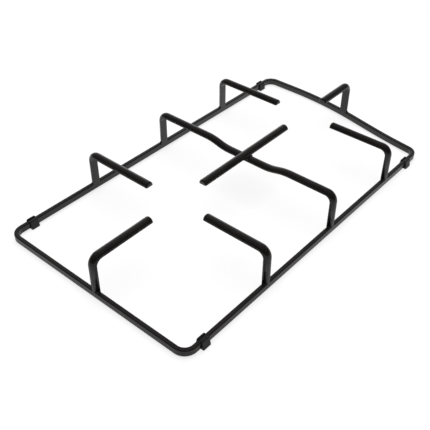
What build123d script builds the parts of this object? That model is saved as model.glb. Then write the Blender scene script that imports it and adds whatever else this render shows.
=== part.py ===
from build123d import *
from math import radians, tan
import os

# Pan support for a two-burner gas hob: half-round fingers welded on a flat-bar frame with rubber feet

# Frame, a flat bar set on edge and bent into a closed loop
frame_width = 254.0
frame_length = 455.0
rail_thick = 5.0
rail_height = 8.0
rail_edge = 0.8
corner_radius = 12.0

# Far rail: square to the sides past the middle, then slanting in, then easing off before the right rail.
# Each of its two bends is spread over this length of rail on either side of the turn.
slant_start_x = -31.0
slant_end_in = 43.0
slant_angle = 13.0
tail_angle = 8.5
slant_start_ease = 50.0
slant_end_ease = 23.5

# Fingers, half-round bar bent with its flat side inwards and blunted at the end. Each riser is flush with
# the outside of its rail, and its weld fills the rail's broken edges.
bar_width = 10.4
bar_depth = 5.4
bar_edge = 0.4
end_edge = 1.2
bend_radius = 7.0
weld_fill = 0.7
support_height = 51.5

# Burners, from the near end of the frame and from its middle, and the gap from each centre to the finger ends
front_burner_in = 119.3
rear_burner_in = 110.0
burner_x = 6.6
burner_gap = 39.0

# Cross bar: its dip on each side of the burner line, and how deep the bar that lies there is welded in
dip_left = 30.0
dip_right = 34.0
dip_slope = 20.0
dip_radius = 60.0
weld_set = 0.4

# Feet, soft sleeves pushed on to the long rails, each so far in from its own corner
foot_length = 10.5
foot_pad = 1.6
foot_wall = 1.2
foot_flare = 1.9
foot_lip = 1.1
foot_slit = 3.6
foot_round = 1.2
foot_end_edge = 0.7
foot_clearance = 0.05
front_left_foot_in = 29.5
front_right_foot_in = 25.6
rear_left_foot_in = 24.8
rear_right_foot_in = 28.6

# Levels and lines that follow from the sizes above
rail_bottom = foot_pad
rail_top = rail_bottom + rail_height
rail_middle = rail_bottom + rail_height / 2
weld_level = rail_top - weld_fill
flat_level = rail_bottom + support_height - bar_depth
dip_level = flat_level - bar_depth + weld_set
front_face = -frame_length / 2
rear_face = frame_length / 2
front_line = front_face + rail_thick / 2
rear_line = rear_face - rail_thick / 2
side_line = frame_width / 2 - rail_thick / 2
riser_in = bar_depth - rail_thick / 2
slant_end_x = side_line - slant_end_in
slant_end_y = rear_line - (slant_end_x - slant_start_x) * tan(radians(slant_angle))
right_end_y = slant_end_y - slant_end_in * tan(radians(tail_angle))
slant_start_radius = slant_start_ease / tan(radians(slant_angle / 2))
slant_end_radius = slant_end_ease / tan(radians((slant_angle - tail_angle) / 2))
front_burner_y = front_face + front_burner_in
rear_burner_y = rear_face - rear_burner_in
cross_y = (front_burner_y + rear_burner_y) / 2


def half_round_bar(path, plane):
    """Sweeps the bar along a path that follows the middle of its flat, round side towards the plane's +Y."""
    half = bar_width / 2
    with BuildSketch(plane) as section:
        with BuildLine():
            whole = ThreePointArc((half, 0), (0, bar_depth), (-half, 0), mode=Mode.PRIVATE)
            trim = bar_edge / whole.length
            back = whole.trim(trim, 1 - trim)
            add(back)
            Polyline(back @ 1, (bar_edge - half, 0), (half - bar_edge, 0), back @ 0)
        make_face()
    sweep(sections=section.sketch, path=path)


# Frame: the rail section swept round the loop
with BuildPart() as perimeter_frame:
    with BuildLine(Plane.XY.offset(rail_middle)) as loop:
        FilletPolyline(
            (-side_line, front_line),
            (side_line, front_line),
            (side_line, right_end_y),
            (slant_end_x, slant_end_y),
            (slant_start_x, rear_line),
            (-side_line, rear_line),
            radius=[corner_radius] * 3 + [slant_end_radius, slant_start_radius, corner_radius],
            close=True,
        )
    with BuildSketch(Plane(loop.line @ 0, x_dir=(0, 0, 1), z_dir=loop.line % 0)) as section:
        Rectangle(rail_height, rail_thick)
        chamfer(section.vertices(), length=rail_edge)
    sweep(path=loop.line)

# Fingers: the point on the rail that each stands on, the way it points and how far its end is from there
burner_line = Axis((burner_x, 0, rail_middle), (0, 1, 0))
far_line = loop.line.intersect(burner_line).vertices().sort_by(Axis.Y)[-1].Y
left_reach = side_line + burner_x - burner_gap
right_reach = side_line - burner_x - burner_gap
rightwards = (1, 0, 0)
leftwards = (-1, 0, 0)
rearwards = (0, 1, 0)
forwards = (0, -1, 0)
fingers = {
    "front_finger": ((burner_x, front_line), rearwards, front_burner_y - burner_gap - front_line),
    "left_front_finger": ((-side_line, front_burner_y), rightwards, left_reach),
    "right_front_finger": ((side_line, front_burner_y), leftwards, right_reach),
    "left_rear_finger": ((-side_line, rear_burner_y), rightwards, left_reach),
    "right_rear_finger": ((side_line, rear_burner_y), leftwards, right_reach),
    "rear_finger": ((burner_x, far_line), forwards, far_line - rear_burner_y - burner_gap),
}
pieces = {"perimeter_frame": perimeter_frame}
for name, (seat, inward, reach) in fingers.items():
    across = Vector(0, 0, 1).cross(Vector(*inward))
    with BuildPart() as bar:
        with BuildLine(Plane((*seat, 0), x_dir=inward, z_dir=-across)) as run:
            FilletPolyline(
                (riser_in, weld_level),
                (riser_in, flat_level),
                (reach, flat_level),
                radius=bend_radius,
            )
        half_round_bar(run.line, Plane(run.line @ 0, x_dir=across, z_dir=(0, 0, 1)))
        end = bar.faces().sort_by(Axis((0, 0, 0), inward))[-1]
        chamfer(end.edges().filter_by(GeomType.CIRCLE), length=end_edge)
        add(perimeter_frame.part, mode=Mode.SUBTRACT)
    pieces[name] = bar

# Cross bar: a riser at each end and a dip that drops its top to the flat of the bar lying across it
with BuildPart() as cross_bar:
    with BuildLine(Plane((0, cross_y, 0), x_dir=(1, 0, 0), z_dir=(0, -1, 0))) as run:
        riser_x = side_line - riser_in
        FilletPolyline(
            (-riser_x, weld_level),
            (-riser_x, flat_level),
            (burner_x - dip_left - dip_slope, flat_level),
            (burner_x - dip_left, dip_level),
            (burner_x + dip_right, dip_level),
            (burner_x + dip_right + dip_slope, flat_level),
            (riser_x, flat_level),
            (riser_x, weld_level),
            radius=[bend_radius] + [dip_radius] * 4 + [bend_radius],
        )
    half_round_bar(run.line, Plane(run.line @ 0, x_dir=(0, 1, 0), z_dir=(0, 0, 1)))
    add(perimeter_frame.part, mode=Mode.SUBTRACT)
pieces["cross_bar"] = cross_bar

# Centre bar: straight, with a shallow seat where it is welded into the dip
with BuildPart() as centre_bar:
    with BuildLine() as run:
        Line(
            (burner_x, front_burner_y + burner_gap, flat_level),
            (burner_x, rear_burner_y - burner_gap, flat_level),
        )
    half_round_bar(run.line, Plane(run.line @ 0, x_dir=(-1, 0, 0), z_dir=(0, 1, 0)))
    ends = centre_bar.faces().filter_by(Axis.Y)
    chamfer(ends.edges().filter_by(GeomType.CIRCLE), length=end_edge)
    add(cross_bar.part, mode=Mode.SUBTRACT)
pieces["centre_bar"] = centre_bar

# Feet: a flared sleeve round the rail, slit along the top so that it can be pushed on
feet = {
    "front_left_foot": (-side_line, front_face + front_left_foot_in),
    "front_right_foot": (side_line, front_face + front_right_foot_in),
    "rear_left_foot": (-side_line, rear_face - rear_left_foot_in),
    "rear_right_foot": (side_line, right_end_y + rail_thick / 2 - rear_right_foot_in),
}
foot_height = rail_top + foot_lip
top_half = rail_thick / 2 + foot_wall
base_half = top_half + foot_flare
for name, (x, y) in feet.items():
    section_plane = Plane((x, y, 0), x_dir=(1, 0, 0), z_dir=(0, -1, 0))
    with BuildPart() as foot:
        with BuildSketch(section_plane) as section:
            Polygon(
                (-base_half, 0),
                (base_half, 0),
                (top_half, foot_height),
                (-top_half, foot_height),
                align=None,
            )
            fillet(section.vertices(), radius=foot_round)
        extrude(amount=foot_length / 2, both=True)
        chamfer(foot.faces().filter_by(Axis.Y).edges(), length=foot_end_edge)
        with BuildSketch(section_plane) as slot:
            with Locations((0, rail_bottom + (rail_height + foot_clearance) / 2)):
                Rectangle(rail_thick + 2 * foot_clearance, rail_height + foot_clearance)
            chamfer(slot.vertices(), length=rail_edge)
            with Locations((0, foot_height)):
                Rectangle(foot_slit, 2 * foot_lip)
        extrude(amount=foot_length, both=True, mode=Mode.SUBTRACT)
    pieces[name] = foot

os.makedirs("parts", exist_ok=True)
for name, piece in pieces.items():
    piece.part.label = name
    export_step(piece.part, f"parts/{name}.step")
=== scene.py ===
import math

import bmesh
import bpy
from mathutils import Matrix, Vector, noise


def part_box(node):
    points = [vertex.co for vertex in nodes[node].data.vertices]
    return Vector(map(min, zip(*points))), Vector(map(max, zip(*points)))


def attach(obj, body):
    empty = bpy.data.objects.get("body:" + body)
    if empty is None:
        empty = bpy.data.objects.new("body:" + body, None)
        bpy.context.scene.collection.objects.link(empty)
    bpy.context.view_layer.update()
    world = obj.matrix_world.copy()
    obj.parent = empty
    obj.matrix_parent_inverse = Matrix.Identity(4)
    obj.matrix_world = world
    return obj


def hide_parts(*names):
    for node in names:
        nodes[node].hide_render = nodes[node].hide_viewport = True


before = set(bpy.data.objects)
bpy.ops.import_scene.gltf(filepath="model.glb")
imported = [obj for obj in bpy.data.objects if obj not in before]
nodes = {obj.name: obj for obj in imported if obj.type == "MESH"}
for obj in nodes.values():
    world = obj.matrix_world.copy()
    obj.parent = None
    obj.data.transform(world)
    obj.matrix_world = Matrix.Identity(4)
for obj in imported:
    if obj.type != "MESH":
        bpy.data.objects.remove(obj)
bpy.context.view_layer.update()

# Lengths are in metres
MM = 0.001

# Camera of the photograph, as a place round the object
CAMERA_TARGET = Vector((12.87, -55.73, 1.16)) * MM
CAMERA_DISTANCE = 762.7 * MM
CAMERA_AZIMUTH = 40.55
CAMERA_ELEVATION = 39.32
CAMERA_ROLL = 0.2
CAMERA_LENS = 57.72
SENSOR_WIDTH = 36.0
CLIP_START = 10 * MM

# Edges: those sharper than this angle are rounded, apart from the ones that a weld closes
MERGE_DISTANCE = 0.002 * MM
FLAT_ANGLE = math.radians(0.4)
EDGE_ANGLE = math.radians(24)
RAIL_ROUND = 0.3 * MM
BAR_ROUND = 0.2 * MM
RUBBER_ROUND = 0.3 * MM
ROUND_STEPS = 3

# Blunt ends of the bars: how far back they reach, how far above the flat they start, and their rounding
NOSE_REACH = 1.4 * MM
NOSE_RISE = 0.6 * MM
NOSE_ROUND = 0.55 * MM

# Rail and seat, as the welds need them
RAIL_THICK = 5.0 * MM
RAIL_EDGE = 0.8 * MM
SEAT_DEPTH = 0.4 * MM
WELD_CLEAR = 0.1 * MM
SEAT_CLEAR = 1.0 * MM

# Welds: where they start and end round a riser and over the cross bar, in degrees from the bar's flat
RISER_WELD = (6, 52)
CROSSING_WELD = (28, 152)
RISER_BEAD = 0.95 * MM
CROSSING_BEAD = 1.4 * MM
BEAD_OUT = 0.15
BEAD_RIPPLE = 0.03
BEAD_PITCH = 1.3 * MM
BEAD_LUMP = 0.13
BEAD_LUMP_SIZE = 1.6
BEAD_TAPER_POWER = 4
BEAD_TIP = 0.02
BEAD_STEPS = 36
BEAD_SIDES = 20

# Materials: noises as lumps per metre, detail and roughness, bumps as strength and depth, and ramps over the noise
IOR = 1.5
MOTTLE = (70, 3, 0.5)
SHEEN = (240, 4, 0.6)
PEEL, PEEL_BUMP = (420, 2, 0.5), (0.25, 0.06 * MM)
GRAIN, GRAIN_BUMP = (2600, 2, 0.5), (0.12, 0.02 * MM)
ENAMEL_COLOURS = [(0.35, (0.0086, 0.0072, 0.0070)), (0.68, (0.0124, 0.0106, 0.0102))]
ENAMEL_ROUGHNESS = [(0.3, 0.21), (0.7, 0.31)]
BLOOM = (300, 4, 0.6)
PORES, PORE_BUMP = (1800, 3, 0.5), (0.3, 0.04 * MM)
RUBBER_COLOURS = [(0.35, (0.008, 0.008, 0.0082)), (0.7, (0.014, 0.0138, 0.0138))]
RUBBER_ROUGHNESS = [(0.3, 0.45), (0.7, 0.58)]

# Stage: a pale floor, a lamp overhead, and a bright side to the far left as a window or a large screen gives.
# The floor's glow rises to white over the lamp's reach. Gloss shows a share of the white surround, and of the
# floor's glow from the first value to the second along the slope, which runs towards the bright side. The sky
# is listed as (place, brightness), from the dark side at 0 to the bright side at 1.
FLOOR_HALF = 30.0
FLOOR_PAINT = 0.3
FLOOR_GLOW = 0.75
LAMP_REACH = (0.4, 3.5)
FLOOR_IN_GLOSS = (0.34, 0.75)
GLOSS_SLOPE = (-0.2, 0.2)
SURROUND_IN_GLOSS = 0.05
BRIGHT_SIDE = (-0.707, 0.707, 0.0)
SKY = [
    (0.0, 0.0),
    (0.45, 0.01),
    (0.58, 0.06),
    (0.72, 0.16),
    (0.8, 0.2),
    (0.885, 0.23),
    (0.92, 0.47),
    (0.98, 1.0),
]
LAMP_SIZE = 2.4
LAMP_HEIGHT = 2.0
LAMP_POWER = 50.0

UP = Vector((0, 0, 1))
FINGERS = [name for name in nodes if name.endswith("_finger")]
FEET = [name for name in nodes if name.endswith("_foot")]

rail_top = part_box("perimeter_frame")[1].z
centre_low, centre_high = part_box("centre_bar")
cross_low, cross_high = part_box("cross_bar")
bar_width = centre_high.x - centre_low.x
bar_depth = centre_high.z - centre_low.z
cross_y = (cross_low.y + cross_high.y) / 2


def node_tree(name):
    """A new material's node tree and its Principled shader."""
    material = bpy.data.materials.new(name)
    material.use_nodes = True
    tree = material.node_tree
    return material, tree, tree.nodes["Principled BSDF"]


def add_node(tree, kind, **values):
    """A node with some of its inputs set by name."""
    made = tree.nodes.new(kind)
    for name, value in values.items():
        made.inputs[name.replace("_", " ")].default_value = value
    return made


def noise_at(tree, scale, detail, roughness):
    """Noise over the object's own coordinates, scale in lumps per metre."""
    place = tree.nodes.new("ShaderNodeTexCoord")
    made = add_node(tree, "ShaderNodeTexNoise", Scale=scale, Detail=detail, Roughness=roughness)
    tree.links.new(place.outputs["Object"], made.inputs["Vector"])
    return made.outputs["Fac"]


def vector_math(tree, operation, vector, other=None):
    """The number that a vector gives, alone or with another one."""
    made = tree.nodes.new("ShaderNodeVectorMath")
    made.operation = operation
    tree.links.new(vector, made.inputs[0])
    if other:
        made.inputs[1].default_value = other
    return made.outputs["Value"]


def map_range(tree, value, from_limits, to_limits):
    """A value carried from one range to another, and held at its ends."""
    (from_min, from_max), (to_min, to_max) = from_limits, to_limits
    made = add_node(
        tree, "ShaderNodeMapRange", From_Min=from_min, From_Max=from_max, To_Min=to_min, To_Max=to_max
    )
    tree.links.new(value, made.inputs["Value"])
    return made.outputs["Result"]


def multiply_add(tree, one, two, three):
    """One times two plus three, each a number or another node's output."""
    made = tree.nodes.new("ShaderNodeMath")
    made.operation = "MULTIPLY_ADD"
    for socket, value in zip(made.inputs, (one, two, three)):
        if isinstance(value, float):
            socket.default_value = value
        else:
            tree.links.new(value, socket)
    return made.outputs[0]


def ramp(tree, factor, stops):
    """A colour ramp from (place, grey or colour) stops."""
    made = tree.nodes.new("ShaderNodeValToRGB")
    tree.links.new(factor, made.inputs["Fac"])
    elements = made.color_ramp.elements
    while len(elements) < len(stops):
        elements.new(0.5)
    for element, (place, colour) in zip(elements, stops):
        element.position = place
        element.color = (*colour, 1) if isinstance(colour, tuple) else (colour, colour, colour, 1)
    return made.outputs["Color"]


def bump(tree, height, strength, distance, under=None):
    """A bump node, on top of another one where that is given."""
    made = add_node(tree, "ShaderNodeBump", Strength=strength, Distance=distance)
    tree.links.new(height, made.inputs["Height"])
    if under:
        tree.links.new(under, made.inputs["Normal"])
    return made.outputs["Normal"]


def enamel_material():
    """Satin black enamel: faint mottling, orange peel and a fine grain."""
    material, tree, shader = node_tree("satin_black_enamel")
    tree.links.new(ramp(tree, noise_at(tree, *MOTTLE), ENAMEL_COLOURS), shader.inputs["Base Color"])
    tree.links.new(ramp(tree, noise_at(tree, *SHEEN), ENAMEL_ROUGHNESS), shader.inputs["Roughness"])
    peel = bump(tree, noise_at(tree, *PEEL), *PEEL_BUMP)
    grain = bump(tree, noise_at(tree, *GRAIN), *GRAIN_BUMP, under=peel)
    tree.links.new(grain, shader.inputs["Normal"])
    shader.inputs["IOR"].default_value = IOR
    return material


def rubber_material():
    """Matt black rubber with a dry bloom."""
    material, tree, shader = node_tree("matt_black_rubber")
    bloom = noise_at(tree, *BLOOM)
    tree.links.new(ramp(tree, bloom, RUBBER_COLOURS), shader.inputs["Base Color"])
    tree.links.new(ramp(tree, bloom, RUBBER_ROUGHNESS), shader.inputs["Roughness"])
    tree.links.new(bump(tree, noise_at(tree, *PORES), *PORE_BUMP), shader.inputs["Normal"])
    shader.inputs["IOR"].default_value = IOR
    return material


def show(bm, name, material):
    """Turns a bmesh into a smooth piece that rides on the support."""
    for face in bm.faces:
        face.smooth = True
    mesh = bpy.data.meshes.new(name)
    bm.to_mesh(mesh)
    bm.free()
    mesh.materials.clear()
    mesh.materials.append(material)
    piece = bpy.data.objects.new(name, mesh)
    bpy.context.scene.collection.objects.link(piece)
    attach(piece, "root")
    return piece


def sharp_edges(bm, wanted):
    """The sharp edges that have both ends at a wanted place."""
    return [
        edge
        for edge in bm.edges
        if len(edge.link_faces) == 2
        and edge.calc_face_angle() > EDGE_ANGLE
        and all(wanted(vertex.co) for vertex in edge.verts)
    ]


def round_edges(bm, edges, radius):
    """Rounds edges, and merges what that leaves on top of each other."""
    bmesh.ops.bevel(bm, geom=edges, offset=radius, segments=ROUND_STEPS, profile=0.5, affect="EDGES")
    bmesh.ops.remove_doubles(bm, verts=bm.verts, dist=MERGE_DISTANCE)


def rounded_copy(node, radius, material, weld_top=-1.0, nose=None):
    """A copy of a node with its sharp edges above weld_top rounded, and more so where nose says."""
    bm = bmesh.new()
    bm.from_mesh(nodes[node].data)
    bmesh.ops.remove_doubles(bm, verts=bm.verts, dist=MERGE_DISTANCE)
    bmesh.ops.dissolve_limit(bm, angle_limit=FLAT_ANGLE, verts=bm.verts, edges=bm.edges)
    ends = sharp_edges(bm, nose) if nose else []
    others = [edge for edge in sharp_edges(bm, lambda at: at.z > weld_top) if edge not in ends]
    round_edges(bm, others, radius)
    if nose:
        round_edges(bm, sharp_edges(bm, nose), NOSE_ROUND)
    piece = show(bm, node + "_rounded", material)
    piece.modifiers.new("even_shading", "WEIGHTED_NORMAL").keep_sharp = True
    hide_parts(node)


def bead(name, path, radius, material):
    """A weld bead along a path: a lumpy, faintly rippled tube that tapers at both ends."""
    bm = bmesh.new()
    length = sum((b - a).length for a, b in zip(path, path[1:]))
    rings = []
    for i, point in enumerate(path):
        share = i / (len(path) - 1)
        ahead = path[min(i + 1, len(path) - 1)] - path[max(i - 1, 0)]
        side = ahead.cross(UP).normalized()
        up = side.cross(ahead).normalized()
        taper = math.sqrt(max(1 - (2 * share - 1) ** BEAD_TAPER_POWER, BEAD_TIP))
        ripple = 1 + BEAD_RIPPLE * math.cos(2 * math.pi * share * length / BEAD_PITCH)
        ring = []
        for k in range(BEAD_SIDES):
            angle = 2 * math.pi * k / BEAD_SIDES
            out = side * math.cos(angle) + up * math.sin(angle)
            lump = 1 + BEAD_LUMP * noise.noise((point + out * radius) / (BEAD_LUMP_SIZE * radius))
            ring.append(bm.verts.new(point + out * radius * taper * ripple * lump))
        rings.append(ring)
    for one, two in zip(rings, rings[1:]):
        for k in range(BEAD_SIDES):
            j = (k + 1) % BEAD_SIDES
            bm.faces.new((one[k], one[j], two[j], two[k]))
    bm.faces.new(rings[0][::-1])
    bm.faces.new(rings[-1])
    bmesh.ops.recalc_face_normals(bm, faces=bm.faces)
    show(bm, name, material)


def angles(limits):
    """Evenly spaced angles for one bead."""
    low, high = (math.radians(limit) for limit in limits)
    return [low + (high - low) * i / (BEAD_STEPS - 1) for i in range(BEAD_STEPS)]


def riser_welds(name, outside, inward, material):
    """The two beads at the foot of a riser, from the middle of its outside and the way that it faces."""
    across = UP.cross(inward)
    for letter, side in (("a", across), ("b", -across)):
        path = []
        for angle in angles(RISER_WELD):
            depth = bar_depth * (1 - math.sin(angle))
            past_flat = abs(depth - RAIL_THICK / 2) - (RAIL_THICK / 2 - RAIL_EDGE)
            foot = outside + inward * depth + side * bar_width / 2 * math.cos(angle)
            foot.z = rail_top - max(0, past_flat)
            clear = side * math.cos(angle) - inward * math.sin(angle) + UP
            path.append(foot + clear * BEAD_OUT * RISER_BEAD)
        bead(f"{name}_weld_{letter}", path, RISER_BEAD, material)


def crossing_welds(material):
    """The two beads that hold the centre bar in the dip of the cross bar."""
    dip_flat = centre_low.z + SEAT_DEPTH - bar_depth
    for letter, x in (("a", centre_low.x), ("b", centre_high.x)):
        path = [
            Vector((x, cross_y + bar_width / 2 * math.cos(angle), dip_flat + bar_depth * math.sin(angle)))
            for angle in angles(CROSSING_WELD)
        ]
        bead(f"crossing_weld_{letter}", path, CROSSING_BEAD, material)


def finger(node, material):
    """A finger with its rounded end, and the welds at its foot."""
    low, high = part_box(node)
    middle = (low + high) / 2
    if node == "front_finger":
        inward, outside, end = Vector((0, 1, 0)), Vector((middle.x, low.y, 0)), high.y
    elif node == "rear_finger":
        inward, outside, end = Vector((0, -1, 0)), Vector((middle.x, high.y, 0)), -low.y
    elif node.startswith("left"):
        inward, outside, end = Vector((1, 0, 0)), Vector((low.x, middle.y, 0)), high.x
    else:
        inward, outside, end = Vector((-1, 0, 0)), Vector((high.x, middle.y, 0)), -low.x
    nose_base = high.z - bar_depth + NOSE_RISE

    def nose(at):
        return at.dot(inward) > end - NOSE_REACH and at.z > nose_base

    rounded_copy(node, BAR_ROUND, material, weld_top=rail_top + WELD_CLEAR, nose=nose)
    riser_welds(node, outside, inward, material)


def cross_and_centre_bars(material):
    """The cross bar and the bar that lies on it, with their welds."""
    rounded_copy("cross_bar", BAR_ROUND, material, weld_top=rail_top + WELD_CLEAR)
    riser_welds("cross_bar_left", Vector((cross_low.x, cross_y, 0)), Vector((1, 0, 0)), material)
    riser_welds("cross_bar_right", Vector((cross_high.x, cross_y, 0)), Vector((-1, 0, 0)), material)

    def nose(at):
        from_end = min(at.y - centre_low.y, centre_high.y - at.y)
        return from_end < NOSE_REACH and at.z > centre_low.z + NOSE_RISE

    rounded_copy("centre_bar", BAR_ROUND, material, weld_top=centre_low.z + SEAT_CLEAR, nose=nose)
    crossing_welds(material)


def seen_directly(tree, path):
    """1 for what the camera sees, also through glass, and 0 for other light."""
    return multiply_add(tree, path.outputs["Is Transmission Ray"], 1.0, path.outputs["Is Camera Ray"])


def pale_floor():
    """A floor that the lamp lights and that glows to white for the camera, and in part for gloss."""
    mesh = bpy.data.meshes.new("floor")
    h = FLOOR_HALF
    mesh.from_pydata([(-h, -h, 0), (h, -h, 0), (h, h, 0), (-h, h, 0)], [], [(0, 1, 2, 3)])
    floor = bpy.data.objects.new("floor", mesh)
    bpy.context.scene.collection.objects.link(floor)
    material, tree, shader = node_tree("pale_floor")
    tree.nodes.remove(shader)
    paint = add_node(tree, "ShaderNodeBsdfDiffuse", Color=(FLOOR_PAINT, FLOOR_PAINT, FLOOR_PAINT, 1))
    glow = add_node(tree, "ShaderNodeEmission", Color=(1, 1, 1, 1))
    place = tree.nodes.new("ShaderNodeNewGeometry").outputs["Position"]
    level = map_range(tree, vector_math(tree, "LENGTH", place), LAMP_REACH, (FLOOR_GLOW, 1.0))
    shine = map_range(tree, vector_math(tree, "DOT_PRODUCT", place, BRIGHT_SIDE), GLOSS_SLOPE, FLOOR_IN_GLOSS)
    path = tree.nodes.new("ShaderNodeLightPath")
    gloss = multiply_add(tree, path.outputs["Is Glossy Ray"], shine, 0.0)
    tree.links.new(multiply_add(tree, seen_directly(tree, path), level, gloss), glow.inputs["Strength"])
    both = tree.nodes.new("ShaderNodeAddShader")
    tree.links.new(paint.outputs[0], both.inputs[0])
    tree.links.new(glow.outputs[0], both.inputs[1])
    tree.links.new(both.outputs[0], tree.nodes["Material Output"].inputs["Surface"])
    mesh.materials.append(material)


def studio_world():
    """A sky that is bright on one side, and white for the camera, and in part for gloss."""
    world = bpy.data.worlds.new("studio")
    bpy.context.scene.world = world
    world.use_nodes = True
    tree = world.node_tree
    place = tree.nodes.new("ShaderNodeTexCoord").outputs["Generated"]
    towards = vector_math(tree, "DOT_PRODUCT", place, BRIGHT_SIDE)
    sky = ramp(tree, multiply_add(tree, towards, 0.5, 0.5), SKY)
    path = tree.nodes.new("ShaderNodeLightPath")
    white = multiply_add(tree, path.outputs["Is Glossy Ray"], SURROUND_IN_GLOSS, seen_directly(tree, path))
    shown = tree.nodes.new("ShaderNodeMix")
    shown.data_type = "RGBA"
    tree.links.new(white, shown.inputs["Factor"])
    tree.links.new(sky, shown.inputs["A"])
    shown.inputs["B"].default_value = (1, 1, 1, 1)
    tree.links.new(shown.outputs["Result"], tree.nodes["Background"].inputs["Color"])


def overhead_lamp():
    """One large soft lamp, left out of the gloss."""
    lamp = bpy.data.lights.new("softbox", "AREA")
    lamp.shape = "SQUARE"
    lamp.size = LAMP_SIZE
    lamp.energy = LAMP_POWER
    softbox = bpy.data.objects.new("softbox", lamp)
    softbox.location = (0, 0, LAMP_HEIGHT)
    softbox.visible_glossy = False
    bpy.context.scene.collection.objects.link(softbox)


def photo_camera():
    """The photograph's camera."""
    lens = bpy.data.cameras.new("photo_camera")
    lens.lens = CAMERA_LENS
    lens.sensor_width = SENSOR_WIDTH
    lens.clip_start = CLIP_START
    camera = bpy.data.objects.new("photo_camera", lens)
    a, e = math.radians(CAMERA_AZIMUTH), math.radians(CAMERA_ELEVATION)
    back = Vector((math.sin(a) * math.cos(e), -math.cos(a) * math.cos(e), math.sin(e)))
    turn = (-back).to_track_quat("-Z", "Y").to_matrix() @ Matrix.Rotation(math.radians(CAMERA_ROLL), 3, "Z")
    camera.matrix_world = Matrix.Translation(CAMERA_TARGET + back * CAMERA_DISTANCE) @ turn.to_4x4()
    bpy.context.scene.collection.objects.link(camera)
    bpy.context.scene.camera = camera


enamel = enamel_material()
rubber = rubber_material()
rounded_copy("perimeter_frame", RAIL_ROUND, enamel)
for name in FINGERS:
    finger(name, enamel)
cross_and_centre_bars(enamel)
for name in FEET:
    rounded_copy(name, RUBBER_ROUND, rubber)
pale_floor()
studio_world()
overhead_lamp()
photo_camera()
bpy.context.scene.view_settings.view_transform = "Standard"
